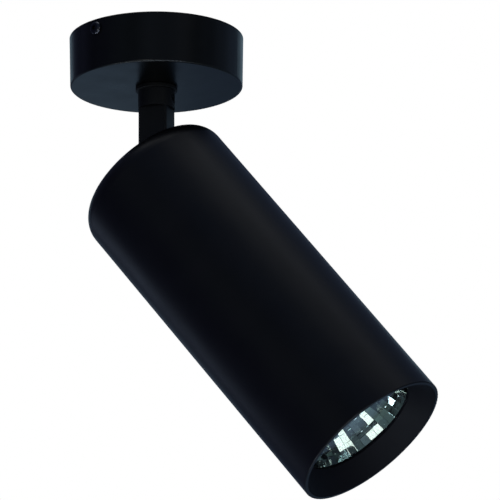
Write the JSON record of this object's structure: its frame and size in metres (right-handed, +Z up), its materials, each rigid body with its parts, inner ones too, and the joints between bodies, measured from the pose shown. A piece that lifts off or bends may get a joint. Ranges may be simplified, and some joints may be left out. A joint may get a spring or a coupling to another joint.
{
  "type": "ceiling spotlight",
  "caption": "Black ceiling spotlight: round ceiling cup, short swivelling stem and a tilting tube with a conical front ring around a reflector lamp.",
  "frame": {"origin": "centre of the ceiling face, on the swivel axis, in the plane of the cup's rim and the bracket's top", "axes": "+Z up, out of the ceiling face; the tube tilts from straight down (-Z) towards +X; the pivot pin lies along Y"},
  "size_m": [0.1275, 0.0602, 0.1651],
  "materials": {
    "black_coated_steel": "satin",
    "black_coated_aluminium": "satin",
    "black_ring": "satin",
    "zinc_steel": "satin",
    "dark_screws": "satin",
    "brass": "satin",
    "black_nylon": "matte",
    "white_nylon": "satin",
    "brown_lead": "satin",
    "blue_lead": "satin",
    "earth_lead": "satin",
    "steatite": "matte",
    "reflector_glass": "polished",
    "clear_glass": "polished",
    "quartz": "polished"
  },
  "bodies": {
    "ceiling": {"ceiling_cup": "black_coated_steel", "ceiling_bracket": "zinc_steel", "side_screws": "dark_screws", "terminal_block": "white_nylon", "terminal_sleeves": "brass", "clamp_screws": "zinc_steel", "block_screw": "zinc_steel", "earth_screw": "zinc_steel", "earth_tag": "zinc_steel", "cup_live_lead": "brown_lead", "cup_neutral_lead": "blue_lead", "cup_earth_lead": "earth_lead", "stop_peg": "zinc_steel"},
    "stem": {"swivel_washer": "black_nylon", "swivel_nipple": "brass", "stop_washer": "zinc_steel", "swivel_disc_spring": "zinc_steel", "swivel_nut": "zinc_steel", "swivel_lock_nut": "zinc_steel", "nipple_bush": "white_nylon", "stem": "black_coated_steel", "stem_grub_screw": "dark_screws", "stem_live_lead": "brown_lead", "stem_neutral_lead": "blue_lead"},
    "head": {"lamp_tube": "black_coated_aluminium", "hinge_bracket": "zinc_steel", "pivot_screw": "zinc_steel", "friction_washers": "white_nylon", "pivot_spring_washer": "zinc_steel", "pivot_nut": "zinc_steel", "hinge_screws": "dark_screws", "hinge_screw_nuts": "zinc_steel", "holder_strap": "zinc_steel", "lampholder": "steatite", "lampholder_contacts": "brass", "lampholder_screws": "zinc_steel", "tube_live_lead": "brown_lead", "tube_neutral_lead": "blue_lead"},
    "front_ring": {"front_ring": "black_ring"},
    "lamp": {"lamp_reflector": "reflector_glass", "lamp_front_glass": "clear_glass", "lamp_base": "steatite", "lamp_capsule": "quartz", "lamp_pins": "brass"}
  },
  "joints": [
    {"name": "swivel", "type": "hinge", "parent": "ceiling", "child": "stem", "pos_m": [0, 0, 0], "axis": [0, 0, 1], "range_deg": [-170, 170]},
    {"name": "tilt", "type": "hinge", "parent": "stem", "child": "head", "pos_m": [0, 0, -0.0533], "axis": [0, -1, 0], "range_deg": [-38.8, 11.2], "deforming": ["tube_live_lead", "tube_neutral_lead"]},
    {"name": "ring_pull", "type": "slide", "parent": "head", "child": "front_ring", "axis": [0.6266, 0, -0.7793], "range_m": [0, 0.025]},
    {"name": "lamp_twist", "type": "hinge", "parent": "head", "child": "lamp", "pos_m": [0, 0, -0.0533], "axis": [0.6266, 0, -0.7793], "range_deg": [0, 30]}
  ]
}
